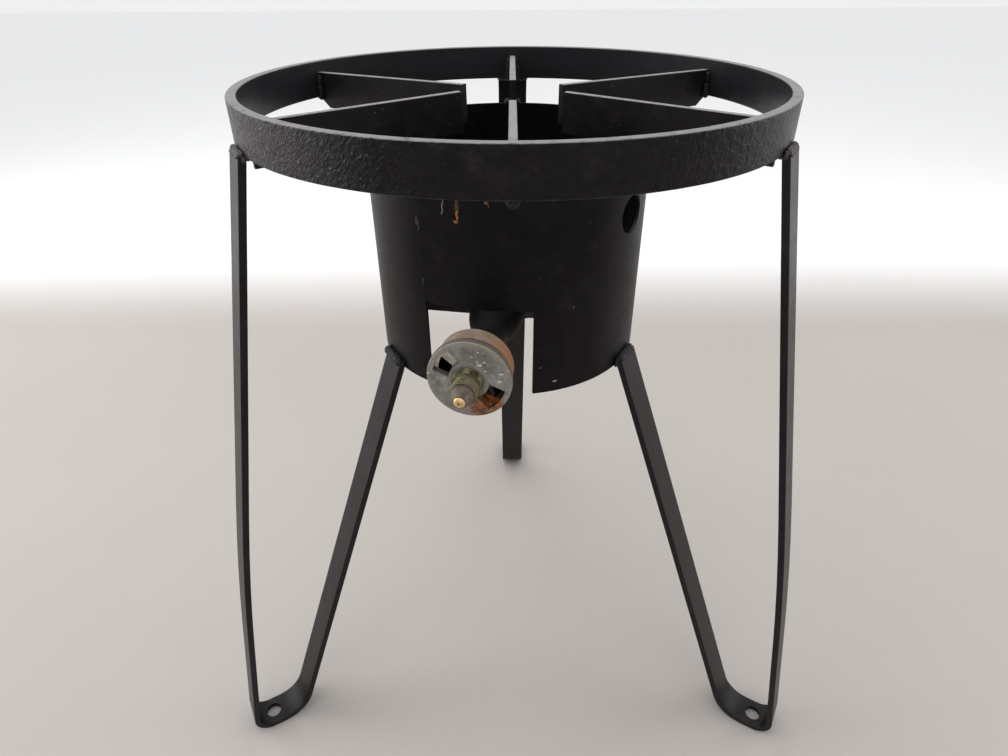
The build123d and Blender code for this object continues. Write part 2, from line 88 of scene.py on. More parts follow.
def sharpen(o, angle):
    o.data.set_sharp_from_angle(angle=math.radians(angle))


def lathe_x(name, prof, n_th, radius_fn=None):
    """Surface about local X of the burner. prof: [(x, r)] along the outline, closed at its ends on the axis or open. radius_fn(x, r, th, i) gives the radius."""
    verts = []
    for i in range(n_th):
        th = TAU * i / n_th
        for k, (x, r) in enumerate(prof):
            rr = radius_fn(x, r, th, k) if radius_fn else r
            verts.append(PLACE @ Vector((x / 1000, rr * math.cos(th) / 1000, rr * math.sin(th) / 1000)))
    o = new_object(name, verts, grid_faces(n_th, len(prof)))
    bm = bmesh.new()
    bm.from_mesh(o.data)
    bmesh.ops.remove_doubles(bm, verts=bm.verts, dist=1e-6)
    bmesh.ops.recalc_face_normals(bm, faces=bm.faces)
    bm.to_mesh(o.data)
    bm.free()
    return o


def samples(points, step):
    """The outline with extra points so that no stretch is longer than step."""
    out = [points[0]]
    for p, q in zip(points, points[1:]):
        d = math.hypot(q[0] - p[0], q[1] - p[1])
        n = max(1, int(math.ceil(d / step)))
        for i in range(1, n + 1):
            out.append((p[0] + (q[0] - p[0]) * i / n, p[1] + (q[1] - p[1]) * i / n))
    return out


# ---------------------------------------------------------------------------
# node helpers
# ---------------------------------------------------------------------------
class Mat:
    def __init__(self, name):
        self.m = bpy.data.materials.new(name)
        self.m.use_nodes = True
        self.t = self.m.node_tree
        self.t.nodes.clear()
        self.out = self.n("ShaderNodeOutputMaterial")
        self.p = self.n("ShaderNodeBsdfPrincipled")
        self.link(self.p.outputs["BSDF"], self.out.inputs["Surface"])
        self.tc = self.n("ShaderNodeTexCoord").outputs["Object"]
        self.sep = self.n("ShaderNodeSeparateXYZ")
        self.link(self.tc, self.sep.inputs[0])
        self.geo = self.n("ShaderNodeNewGeometry")
        self.nrm = self.n("ShaderNodeSeparateXYZ")
        self.link(self.geo.outputs["Normal"], self.nrm.inputs[0])

    def n(self, kind, **kw):
        x = self.t.nodes.new(kind)
        for k, v in kw.items():
            setattr(x, k, v)
        return x

    def link(self, a, b):
        self.t.links.new(a, b)

    def put(self, sock, v):
        if hasattr(v, "is_linked") or isinstance(v, bpy.types.NodeSocket):
            self.link(v, sock)
        else:
            sock.default_value = v

    def math(self, op, a, b=0.0, c=0.0, clamp=False):
        x = self.n("ShaderNodeMath", operation=op, use_clamp=clamp)
        self.put(x.inputs[0], a)
        self.put(x.inputs[1], b)
        self.put(x.inputs[2], c)
        return x.outputs[0]

    def ramp(self, v, lo, hi, a=0.0, b=1.0, smooth=True):
        x = self.n("ShaderNodeMapRange", interpolation_type="SMOOTHSTEP" if smooth else "LINEAR", clamp=True)
        self.put(x.inputs["Value"], v)
        x.inputs["From Min"].default_value = lo
        x.inputs["From Max"].default_value = hi
        x.inputs["To Min"].default_value = a
        x.inputs["To Max"].default_value = b
        return x.outputs["Result"]

    def stretch(self, sx=1.0, sy=1.0, sz=1.0, rot=(0, 0, 0)):
        x = self.n("ShaderNodeMapping")
        self.link(self.tc, x.inputs["Vector"])
        x.inputs["Rotation"].default_value = rot
        x.inputs["Scale"].default_value = (sx, sy, sz)
        return x.outputs[0]

    def noise(self, scale, detail=4.0, rough=0.6, vec=None, dist=0.0):
        x = self.n("ShaderNodeTexNoise")
        self.link(vec if vec is not None else self.tc, x.inputs["Vector"])
        x.inputs["Scale"].default_value = scale
        x.inputs["Detail"].default_value = detail
        x.inputs["Roughness"].default_value = rough
        x.inputs["Distortion"].default_value = dist
        return x.outputs["Fac"]

    def cells(self, scale, vec=None, feature="F1", rand=1.0):
        x = self.n("ShaderNodeTexVoronoi", feature=feature)
        self.link(vec if vec is not None else self.tc, x.inputs["Vector"])
        x.inputs["Scale"].default_value = scale
        x.inputs["Randomness"].default_value = rand
        return x.outputs["Distance"]

    def mix(self, f, a, b, kind="MIX"):
        x = self.n("ShaderNodeMix", data_type="RGBA", blend_type=kind)
        self.put(x.inputs["Factor"], f)
        for s, v in ((x.inputs["A"], a), (x.inputs["B"], b)):
            pass
        ia, ib = [s for s in x.inputs if s.name == "A" and s.type == "RGBA"][0], [s for s in x.inputs if s.name == "B" and s.type == "RGBA"][0]
        self.put(ia, a if not isinstance(a, tuple) else tuple(a) + ((1.0,) if len(a) == 3 else ()))
        self.put(ib, b if not isinstance(b, tuple) else tuple(b) + ((1.0,) if len(b) == 3 else ()))
        return [s for s in x.outputs if s.type == "RGBA"][0]

    def spot(self, u, v, cu, cv, ru, rv, wob=None, amount=0.5):
        """1 inside an uneven oval round (cu, cv) of two coordinates, 0 outside."""
        a = self.math("DIVIDE", self.math("SUBTRACT", u, cu), ru)
        b = self.math("DIVIDE", self.math("SUBTRACT", v, cv), rv)
        q = self.math("SQRT", self.math("ADD", self.math("MULTIPLY", a, a), self.math("MULTIPLY", b, b)))
        if wob is not None:
            q = self.math("ADD", q, self.math("MULTIPLY", self.math("SUBTRACT", wob, 0.5), amount * 2))
        return self.ramp(q, 1.1, 0.75)

    def bump(self, height, dist, strength=1.0, normal=None):
        x = self.n("ShaderNodeBump")
        x.inputs["Strength"].default_value = strength
        x.inputs["Distance"].default_value = dist
        self.link(height, x.inputs["Height"])
        if normal is not None:
            self.link(normal, x.inputs["Normal"])
        return x.outputs["Normal"]

    def finish(self, color, rough, normal=None, metallic=None, spec=0.5, ior=1.5, tint=None):
        if tint is not None:
            self.p.inputs["Specular Tint"].default_value = tuple(tint) + (1.0,)
        self.put(self.p.inputs["Base Color"], color if not isinstance(color, tuple) else tuple(color) + (1.0,))
        self.put(self.p.inputs["Roughness"], rough)
        if metallic is not None:
            self.put(self.p.inputs["Metallic"], metallic)
        self.p.inputs["Specular IOR Level"].default_value = spec
        self.p.inputs["IOR"].default_value = ior
        if normal is not None:
            self.link(normal, self.p.inputs["Normal"])
        return self.m


def rust_mask(M, scale, lo, hi):
    return M.ramp(M.noise(scale, 6.0, 0.7), lo, hi)


# ---------------------------------------------------------------------------
# materials
# ---------------------------------------------------------------------------
def paint(name, base=(0.0046, 0.0042, 0.0046), rough=0.42, spec=0.25, dust=0.5, top_wear=None, bottom_edge_highlight=None,
          flecks=0.0, grain=0.00005, rust_amt=0.0, marks=None, wear_and_highlight_col=(0.16, 0.155, 0.15), bottom_highlight_amt=0.45, haze=0.18, inner_painted_light=None, hammered_sheen=False):
    M = Mat(name)
    big = M.noise(14.0, 3.0, 0.55)
    mid = M.noise(90.0, 5.0, 0.65)
    fine = M.noise(700.0, 4.0, 0.7)
    col = M.mix(M.ramp(big, 0.3, 0.75), tuple(base), tuple(c * 1.9 for c in base))
    # thin brown-grey dust, thicker on faces that look up
    up = M.ramp(M.nrm.outputs["Z"], -0.2, 1.0)
    d = M.math("MULTIPLY", M.math("ADD", M.math("MULTIPLY", up, 0.75), 0.12), M.ramp(mid, 0.35, 0.75))
    col = M.mix(M.math("MULTIPLY", d, 0.10 * dust), col, (0.30, 0.27, 0.23))
    # pale specks, uneven in shape
    sp = M.math("MULTIPLY", M.ramp(M.noise(620.0, 2.0, 0.5), 0.715, 0.74), M.ramp(M.noise(33.0, 3.0), 0.50, 0.60))
    col = M.mix(M.math("MULTIPLY", sp, 0.40 * dust), col, (0.42, 0.40, 0.37))
    if marks:
        wob = M.noise(330.0, 4.0, 0.7)
        bend = M.math("MULTIPLY", M.math("SUBTRACT", M.noise(130.0, 2.0), 0.5), 0.006)
        xx = M.math("ADD", M.sep.outputs["X"], bend)
        for (cx, cz, rx, rz, colour, amt) in marks:
            k = M.spot(xx, M.sep.outputs["Z"], cx, cz, rx, rz, wob, 0.75)
            k = M.math("MULTIPLY", k, M.math("LESS_THAN", M.sep.outputs["Y"], -0.05))
            k = M.math("MULTIPLY", k, M.math("GREATER_THAN", M.math("MULTIPLY", M.nrm.outputs["Y"], -1.0), 0.2))
            col = M.mix(M.math("MULTIPLY", k, amt), col, colour)
    col = M.mix(M.math("MULTIPLY", M.ramp(M.noise(48.0, 6.0, 0.72), 0.50, 0.74), haze), col, (0.060, 0.054, 0.056))
    if inner_painted_light is not None:             # painted light: the faces turned to the stand's axis are painted paler, standing in for light falling on them
        side = M.math("ADD", M.math("MULTIPLY", M.sep.outputs["X"], M.nrm.outputs["X"]), M.math("MULTIPLY", M.sep.outputs["Y"], M.nrm.outputs["Y"]))
        col = M.mix(M.math("MULTIPLY", M.ramp(side, -0.05, -0.12), M.ramp(big, 0.25, 0.7, 0.6, 1.0)), col, tuple(inner_painted_light))
    if hammered_sheen:                      # painted sheen: the left front is painted paler, with painted highlights as bright slanting flecks
        X, Y, Z = M.sep.outputs["X"], M.sep.outputs["Y"], M.sep.outputs["Z"]
        where = M.math("MULTIPLY", M.ramp(X, -0.070, -0.165), M.ramp(Y, 0.010, -0.040))
        out = M.ramp(M.math("ADD", M.math("MULTIPLY", X, M.nrm.outputs["X"]), M.math("MULTIPLY", Y, M.nrm.outputs["Y"])), 0.05, 0.10)
        where = M.math("MULTIPLY", where, out)
        s = M.math("MULTIPLY", M.math("SUBTRACT", X, Y), 0.7071)
        u = M.math("ADD", M.math("MULTIPLY", s, 0.76), M.math("MULTIPLY", Z, 0.65))
        v = M.math("SUBTRACT", M.math("MULTIPLY", Z, 0.76), M.math("MULTIPLY", s, 0.65))
        vec = M.n("ShaderNodeCombineXYZ")
        M.link(M.math("MULTIPLY", u, 330.0), vec.inputs[0])
        M.link(M.math("MULTIPLY", v, 950.0), vec.inputs[1])
        fl = M.noise(1.0, 3.0, 0.55, vec=vec.outputs[0])
        # painted sheen: the left front is painted paler
        col = M.mix(M.math("MULTIPLY", where, M.ramp(fl, 0.35, 0.62, 0.30, 0.62)), col, (0.120, 0.104, 0.108))
        front = M.math("MULTIPLY", M.math("MULTIPLY", M.ramp(X, -0.035, -0.110), M.ramp(Y, -0.020, -0.060)), out)
        # painted highlights: bright slanting flecks on the front
        col = M.mix(M.math("MULTIPLY", M.math("MULTIPLY", front, M.ramp(fl, 0.615, 0.70)), 0.75), col, (0.30, 0.285, 0.29))
    rgh = M.math("ADD", rough - 0.08, M.math("MULTIPLY", mid, 0.2))
    met = None
    wears_and_highlights = []
    if top_wear is not None:          # worn metal on faces above this height that look up
        z0 = top_wear
        w = M.math("MULTIPLY", M.ramp(M.sep.outputs["Z"], z0 - 0.0012, z0), M.ramp(M.nrm.outputs["Z"], 0.35, 0.8))
        wears_and_highlights.append(M.math("MULTIPLY", w, M.ramp(M.noise(160.0, 5.0, 0.7), 0.22, 0.5)))
    # painted highlight: a pale band along the bottom edge, in the worn-top colour, standing in for light caught by the
    # lower edge
    if bottom_edge_highlight is not None:
        z0 = bottom_edge_highlight
        w = M.ramp(M.sep.outputs["Z"], z0 + 0.0011, z0 + 0.0004)
        wears_and_highlights.append(M.math("MULTIPLY", w, M.ramp(M.noise(120.0, 5.0, 0.7), 0.42, 0.70, 0.0, bottom_highlight_amt)))
    for w in wears_and_highlights:
        col = M.mix(w, col, tuple(wear_and_highlight_col))
        rgh = M.math("ADD", M.math("MULTIPLY", rgh, 1.0), M.math("MULTIPLY", w, 0.04))
    if rust_amt > 0:
        r = M.math("MULTIPLY", M.ramp(M.noise(55.0, 6.0, 0.75), 0.60, 0.72), rust_amt)
        if wears_and_highlights:
            r = M.math("MULTIPLY", r, M.math("ADD", 0.25, M.math("MULTIPLY", wears_and_highlights[0], 0.9)), clamp=True)
        col = M.mix(r, col, (0.16, 0.055, 0.020))
        rgh = M.math("ADD", rgh, M.math("MULTIPLY", r, 0.3), clamp=True)
    h = M.math("ADD", M.math("MULTIPLY", mid, 0.7), M.math("MULTIPLY", fine, 0.3))
    nor = M.bump(h, grain * 4, 1.0)
    if flecks > 0:                    # forge-scale flecks in slanting rows
        a = M.noise(260.0, 3.0, 0.6, dist=0.6)
        outside = M.ramp(M.math("ADD", M.math("MULTIPLY", M.sep.outputs["X"], M.nrm.outputs["X"]), M.math("MULTIPLY", M.sep.outputs["Y"], M.nrm.outputs["Y"])), 0.0, 0.1, 0.15, 1.0)
        nor = M.bump(M.math("MULTIPLY", a, outside), flecks, 1.0, nor)
        if hammered_sheen:
            nor = M.bump(M.math("MULTIPLY", fl, front), 0.0011, 1.0, nor)
    return M.finish(col, rgh, nor, met, spec=spec, tint=(1.0, 0.945, 0.955))


def weld_mat(name="weld_bead", k=1.0, pale=0.0):
    M = Mat(name)
    a = M.noise(420.0, 5.0, 0.65)
    b = M.noise(120.0, 3.0, 0.6)
    col = M.mix(M.ramp(b, 0.35, 0.7), (0.006, 0.0055, 0.0057), (0.020 * k, 0.018 * k, 0.0175 * k))
    col = M.mix(M.ramp(M.noise(210.0, 4.0, 0.65), 0.36, 0.62, 0.0, pale), col, (0.150, 0.118, 0.108))
    col = M.mix(M.ramp(a, 0.63, 0.76, 0.0, 0.6 * k), col, (0.16, 0.145, 0.13))
    r = M.ramp(M.noise(75.0, 5.0, 0.7), 0.62, 0.72, 0.0, 0.25 * k)
    col = M.mix(r, col, (0.13, 0.045, 0.018))
    nor = M.bump(M.math("ADD", a, b), 0.0006, 1.0)
    return M.finish(col, M.math("ADD", 0.32, M.math("MULTIPLY", a, 0.3)), nor, None, spec=0.25)


def local_x(M):
    """Distance along the burner's axis, in metres."""
    x = M.math("MULTIPLY", M.math("SUBTRACT", M.sep.outputs["X"], B_X / 1000), ca)
    return M.math("ADD", x, M.math("MULTIPLY", M.sep.outputs["Y"], sa))


def local_y(M):
    x = M.math("MULTIPLY", M.math("SUBTRACT", M.sep.outputs["X"], B_X / 1000), -sa)
    return M.math("ADD", x, M.math("MULTIPLY", M.sep.outputs["Y"], ca))


def casting_mat(name="burner_iron"):
    M = Mat(name)
    lx = local_x(M)
    a = M.noise(260.0, 6.0, 0.72)
    b = M.noise(45.0, 4.0, 0.6)
    dark = M.mix(M.ramp(b, 0.3, 0.7), (0.0040, 0.0037, 0.0037), (0.010, 0.0085, 0.0078))
    dark = M.mix(M.ramp(M.math("ADD", lx, M.math("MULTIPLY", b, 0.012)), 0.112, 0.126, 0.0, 0.8), dark, (0.040, 0.030, 0.022))
    tan = M.mix(M.ramp(M.noise(60.0, 5.0, 0.65), 0.32, 0.68), (0.20, 0.155, 0.115), (0.32, 0.25, 0.185))
    side = M.ramp(M.math("ADD", local_y(M), M.math("MULTIPLY", M.math("SUBTRACT", M.noise(90.0, 4.0), 0.5), 0.02)), 0.006, 0.022)
    rusty = M.mix(M.math("MULTIPLY", side, 0.85), tan, (0.30, 0.135, 0.060))
    rusty = M.mix(M.ramp(M.noise(38.0, 4.0, 0.6), 0.55, 0.75, 0.0, 0.7), rusty, (0.20, 0.085, 0.035))
    at = M.math("ADD", lx, M.math("MULTIPLY", M.math("SUBTRACT", b, 0.5), 0.006))
    k = M.ramp(at, 0.1215, 0.1245)
    col = M.mix(k, dark, rusty)
    # bare cream scale on the mouth's front faces above, heavy rust on them below
    ly, lz = local_y(M), M.math("SUBTRACT", M.sep.outputs["Z"], B_Z / 1000)
    rad = M.math("SQRT", M.math("ADD", M.math("MULTIPLY", ly, ly), M.math("MULTIPLY", lz, lz)))
    front = M.math("MULTIPLY", M.ramp(lx, 0.1364, 0.1368), M.ramp(M.math("SUBTRACT", rad, M.math("MULTIPLY", M.ramp(lz, -0.002, -0.006), 0.004)), 0.0232, 0.0226))
    low = M.ramp(M.math("ADD", M.math("SUBTRACT", ly, lz), M.math("MULTIPLY", M.math("SUBTRACT", b, 0.5), 0.01)), -0.002, 0.004)
    cream = M.mix(M.ramp(M.noise(240.0, 4.0, 0.65), 0.35, 0.65), (0.54, 0.47, 0.37), (0.80, 0.74, 0.64))
    red = M.mix(M.ramp(M.noise(260.0, 5.0, 0.7), 0.38, 0.60), (0.075, 0.022, 0.008), (0.42, 0.125, 0.030))
    # soot where the rust stops under the hub
    soot = M.ramp(M.math("ADD", M.math("ADD", lz, M.math("MULTIPLY", ly, 0.35)), M.math("MULTIPLY", M.math("SUBTRACT", b, 0.5), 0.006)), -0.0125, -0.0095, 0.0, 0.93)
    red = M.mix(soot, red, (0.006, 0.0042, 0.0034))
    col = M.mix(front, col, M.mix(low, cream, red))
    # painted shade: faces turned inward inside the bore are painted near black
    inward = M.math("ADD", M.math("MULTIPLY", ly, M.math("SUBTRACT", M.math("MULTIPLY", M.nrm.outputs["Y"], ca), M.math("MULTIPLY", M.nrm.outputs["X"], sa))),
                    M.math("MULTIPLY", lz, M.nrm.outputs["Z"]))
    bore_shade = M.math("MULTIPLY", M.ramp(inward, -0.004, -0.008), M.math("LESS_THAN", rad, 0.0213))
    bore_shade = M.math("MULTIPLY", bore_shade, M.math("GREATER_THAN", lx, 0.060))
    col = M.mix(M.math("MULTIPLY", bore_shade, 0.97), col, (0.0030, 0.0026, 0.0024))
    nor = M.bump(M.math("ADD", a, M.math("MULTIPLY", b, 0.5)), 0.0007, 1.0)
    return M.finish(col, 0.68, nor, None, spec=0.15)


def shutter_mat():
    M = Mat("shutter_grey")
    ly, z = local_y(M), M.math("SUBTRACT", M.sep.outputs["Z"], B_Z / 1000)
    r = M.math("SQRT", M.math("ADD", M.math("MULTIPLY", ly, ly), M.math("MULTIPLY", z, z)))
    a = M.noise(300.0, 6.0, 0.72)
    b = M.noise(70.0, 5.0, 0.6)
    lx = local_x(M)
    col = M.mix(M.ramp(b, 0.38, 0.62), (0.178, 0.167, 0.150), (0.315, 0.300, 0.276))
    col = M.mix(M.ramp(a, 0.52, 0.66, 0.0, 0.6), col, (0.40, 0.385, 0.36))
    col = M.mix(M.ramp(M.noise(190.0, 5.0, 0.7), 0.53, 0.66, 0.0, 0.6), col, (0.085, 0.078, 0.066))
    col = M.mix(M.ramp(M.noise(36.0, 3.0, 0.6), 0.48, 0.66, 0.0, 0.35), col, (0.20, 0.165, 0.115))
    # flung white specks
    sp = M.math("MULTIPLY", M.ramp(M.noise(520.0, 2.0, 0.5), 0.66, 0.70), M.ramp(M.noise(60.0, 3.0), 0.50, 0.58))
    col = M.mix(M.math("MULTIPLY", sp, 0.7), col, (0.62, 0.61, 0.59))
    wob = M.noise(420.0, 3.0, 0.65)
    for (u, v, ru, rv) in ((6.9, 11.5, 1.7, 1.0), (5.4, 13.4, 0.7, 0.5), (9.7, 13.5, 0.8, 0.5), (23.6, 8.8, 1.5, 0.6), (19.7, 6.5, 1.7, 0.5),
                           (18.5, 1.2, 1.5, 0.8), (10.3, 7.8, 0.8, 0.5), (2.2, 16.5, 0.9, 0.5), (6.0, 19.7, 0.8, 0.4), (-24.6, 2.6, 0.8, 0.7)):
        k = M.spot(ly, z, u / 1000, v / 1000, ru / 1000, rv / 1000, wob, 0.6)
        k = M.math("MULTIPLY", k, M.math("GREATER_THAN", lx, 0.1447))
        col = M.mix(M.math("MULTIPLY", k, 0.85), col, (0.70, 0.69, 0.66))
    # worn tan rim
    rim = M.math("MULTIPLY", M.ramp(r, 0.0222, 0.0252), M.ramp(M.noise(85.0, 5.0, 0.7), 0.38, 0.60, 0.1, 0.9))
    col = M.mix(rim, col, (0.30, 0.255, 0.195))
    # painted shade: the turned edge and the back are painted dark, standing in for the shade they lie in
    edge_back_shade = M.ramp(lx, 0.1453, 0.1446)
    col = M.mix(M.math("MULTIPLY", edge_back_shade, 0.75), col, (0.060, 0.058, 0.053))
    # rust that has run down from the lower window
    q = M.spot(ly, z, 0.0108, -0.0178, 0.0120, 0.0088, M.noise(170.0, 5.0, 0.75), 0.55)
    rc = M.mix(M.ramp(M.noise(170.0, 5.0, 0.7), 0.38, 0.62), (0.075, 0.024, 0.010), (0.40, 0.110, 0.016))
    rc = M.mix(M.ramp(M.noise(130.0, 4.0, 0.6), 0.55, 0.68, 0.0, 0.7), rc, (0.24, 0.19, 0.085))
    rust = M.math("MULTIPLY", q, 0.93)
    col = M.mix(rust, col, rc)
    # olive stain below the fitting
    st = M.spot(ly, z, 0.0062, -0.0105, 0.0055, 0.0045, wob, 0.5)
    col = M.mix(M.math("MULTIPLY", st, 0.55), col, (0.095, 0.080, 0.040))
    # thin dirt round the hub
    hb = M.math("MULTIPLY", M.ramp(r, 0.0118, 0.0088), M.ramp(b, 0.3, 0.65, 0.25, 0.9))
    col = M.mix(M.math("MULTIPLY", hb, 0.5), col, (0.075, 0.062, 0.045))
    nor = M.bump(M.math("ADD", a, M.math("MULTIPLY", b, 0.9)), 0.0014, 1.0)
    return M.finish(col, M.ramp(b, 0.3, 0.7, 0.44, 0.60), nor, M.math("MULTIPLY", M.math("SUBTRACT", 1.0, rust), 0.2), spec=0.45)


def fitting_mat():
    M = Mat("fitting_brass")
    lx = local_x(M)
    a = M.noise(420.0, 5.0, 0.7)
    b = M.noise(120.0, 4.0, 0.6)
    olive = M.mix(M.ramp(b, 0.3, 0.7), (0.060, 0.048, 0.026), (0.175, 0.145, 0.080))
    olive = M.mix(M.ramp(a, 0.60, 0.75, 0.0, 0.7), olive, (0.33, 0.27, 0.15))
    grey = M.mix(M.ramp(b, 0.3, 0.7), (0.100, 0.080, 0.062), (0.205, 0.168, 0.138))
    grey = M.mix(M.ramp(M.noise(260.0, 5.0, 0.7), 0.48, 0.64, 0.0, 0.65), grey, (0.062, 0.048, 0.030))
    ly, lz = local_y(M), M.math("SUBTRACT", M.sep.outputs["Z"], B_Z / 1000)
    rr = M.math("SQRT", M.math("ADD", M.math("MULTIPLY", ly, ly), M.math("MULTIPLY", lz, lz)))
    # the thread's valleys are painted darker, with paler metal on its crests
    inthr = M.math("MULTIPLY", M.ramp(lx, 0.1532, 0.1538), M.ramp(lx, 0.1626, 0.1620))
    olive = M.mix(M.math("MULTIPLY", inthr, M.ramp(rr, 0.00765, 0.00725, 0.0, 0.85)), olive, (0.016, 0.013, 0.007))
    olive = M.mix(M.math("MULTIPLY", inthr, M.ramp(rr, 0.00775, 0.00792, 0.0, 0.8)), olive, (0.36, 0.30, 0.175))
    # bright crowns of the hexagon
    hx = M.math("MULTIPLY", M.ramp(lx, 0.1530, 0.1524), M.ramp(rr, 0.0090, 0.0094, 0.0, 0.6))
    olive = M.mix(hx, olive, (0.40, 0.35, 0.20))
    col = M.mix(M.ramp(M.math("ADD", lx, M.math("MULTIPLY", M.math("SUBTRACT", b, 0.5), 0.001)), 0.1620, 0.1629), olive, grey)
    st = M.ramp(M.noise(170.0, 5.0, 0.7), 0.58, 0.70, 0.0, 0.6)
    col = M.mix(st, col, (0.045, 0.026, 0.014))
    nor = M.bump(M.math("ADD", a, b), 0.00035, 1.0)
    return M.finish(col, M.ramp(a, 0.3, 0.7, 0.38, 0.60), nor, 0.55, spec=0.5)


def bright_brass():
    M = Mat("insert_brass")
    a = M.noise(500.0, 5.0, 0.6)
    col = M.mix(M.ramp(a, 0.3, 0.7), (0.62, 0.40, 0.15), (0.85, 0.64, 0.33))
    nor = M.bump(a, 0.0002, 1.0)
    return M.finish(col, M.ramp(a, 0.3, 0.7, 0.22, 0.38), nor, 0.9, spec=0.5)


def steel_mat():
    M = Mat("fastener_steel")
    a = M.noise(380.0, 5.0, 0.65)
    b = M.noise(90.0, 4.0, 0.6)
    col = M.mix(M.ramp(b, 0.3, 0.7), (0.075, 0.065, 0.058), (0.20, 0.18, 0.165))
    col = M.mix(M.ramp(M.noise(60.0, 5.0, 0.7), 0.55, 0.68, 0.0, 0.8), col, (0.13, 0.05, 0.022))
    nor = M.bump(a, 0.0003, 1.0)
    return M.finish(col, M.ramp(a, 0.3, 0.7, 0.34, 0.6), nor, 0.7, spec=0.5)


def cap_mat():
    M = Mat("burner_iron_cap")
    a = M.noise(260.0, 6.0, 0.72)
    b = M.noise(45.0, 4.0, 0.6)
    col = M.mix(M.ramp(b, 0.35, 0.65), (0.020, 0.016, 0.014), (0.075, 0.040, 0.024))
    col = M.mix(M.ramp(a, 0.60, 0.72, 0.0, 0.6), col, (0.15, 0.07, 0.035))
    nor = M.bump(M.math("ADD", a, b), 0.0006, 1.0)
    return M.finish(col, 0.72, nor, None, spec=0.25)


STREAKS = [
    (-0.0413, 0.4640, 0.0006, 0.0052, (0.24, 0.23, 0.21), 0.8),
    (-0.0327, 0.4655, 0.0009, 0.0056, (0.10, 0.070, 0.036), 0.7),
    (-0.0329, 0.4600, 0.0008, 0.0030, (0.36, 0.15, 0.030), 0.9),
    (-0.0336, 0.4560, 0.0011, 0.0012, (0.30, 0.14, 0.035), 0.8),
    (-0.0146, 0.4684, 0.0014, 0.0010, (0.20, 0.095, 0.030), 0.8),
    (-0.0136, 0.4668, 0.0006, 0.0014, (0.15, 0.080, 0.030), 0.7),
    (-0.0584, 0.4527, 0.0007, 0.0030, (0.085, 0.070, 0.048), 0.8),
    (0.0289, 0.3435, 0.0014, 0.0007, (0.40, 0.39, 0.37), 0.8),
    (0.0401, 0.3973, 0.0010, 0.0008, (0.10, 0.095, 0.09), 0.7),
    (0.0180, 0.3560, 0.0009, 0.0009, (0.10, 0.095, 0.09), 0.7),
]
MAT = {
    "ring": paint("stand_paint_ring", top_wear=0.5203, bottom_edge_highlight=0.4953, flecks=0.0008, rust_amt=0.5, dust=0.5, spec=0.17, rough=0.33, base=(0.0032, 0.0029, 0.0035), bottom_highlight_amt=0.2,
                  inner_painted_light=(0.0165, 0.0155, 0.0182), wear_and_highlight_col=(0.20, 0.195, 0.19), hammered_sheen=True),
    "bar": paint("stand_paint_bar", top_wear=0.5085, rust_amt=0.8, dust=0.6, spec=0.20, rough=0.45, wear_and_highlight_col=(0.25, 0.24, 0.23)),
    "leg": paint("stand_paint_leg", rust_amt=0.10, dust=0.7, spec=0.20, rough=0.38, haze=0.10),
    "xbar": paint("stand_paint_cross", rust_amt=0.4, dust=0.8),
    "shroud": paint("shroud_paint", base=(0.0026, 0.0024, 0.0026), rough=0.42, spec=0.13, dust=0.35, rust_amt=0.03, marks=STREAKS, haze=0.12),
    "weld": weld_mat("weld_bead", 0.7), "weld_dark": weld_mat("weld_bead_dark", 0.35), "weld_pale": weld_mat("weld_bead_pale", 0.9, 0.55), "cast": casting_mat(), "cap": cap_mat(), "shutter": shutter_mat(),
    "fitting": fitting_mat(), "insert": bright_brass(), "steel": steel_mat(),
}


def dress(o, m):
    o.data.materials.clear()
    o.data.materials.append(m)


def cad(node, m, smooth_angle=32):
    o = NODES[node]
    if len(o.material_slots) == 0:
        o.data.materials.append(MAT[m])
    for s in o.material_slots:
        s.material = MAT[m]
    return o


for k in NODES:
    if k.startswith("grate_bar"):
        cad(k, "bar")
    elif k.startswith("leg_") and not k.endswith("welds"):
        cad(k, "leg")
cad("wind_shroud", "shroud")
cad("burner_cross_bar", "xbar")
cad("burner_casting", "cast")
cad("burner_port_cap", "cap")
cad("air_shutter", "shutter")
cad("inlet_insert", "insert")
cad("orifice_spud", "insert")
for k in ("bolt_washer", "burner_lock_washer", "burner_nut", "friction_washer"):
    cad(k, "steel")


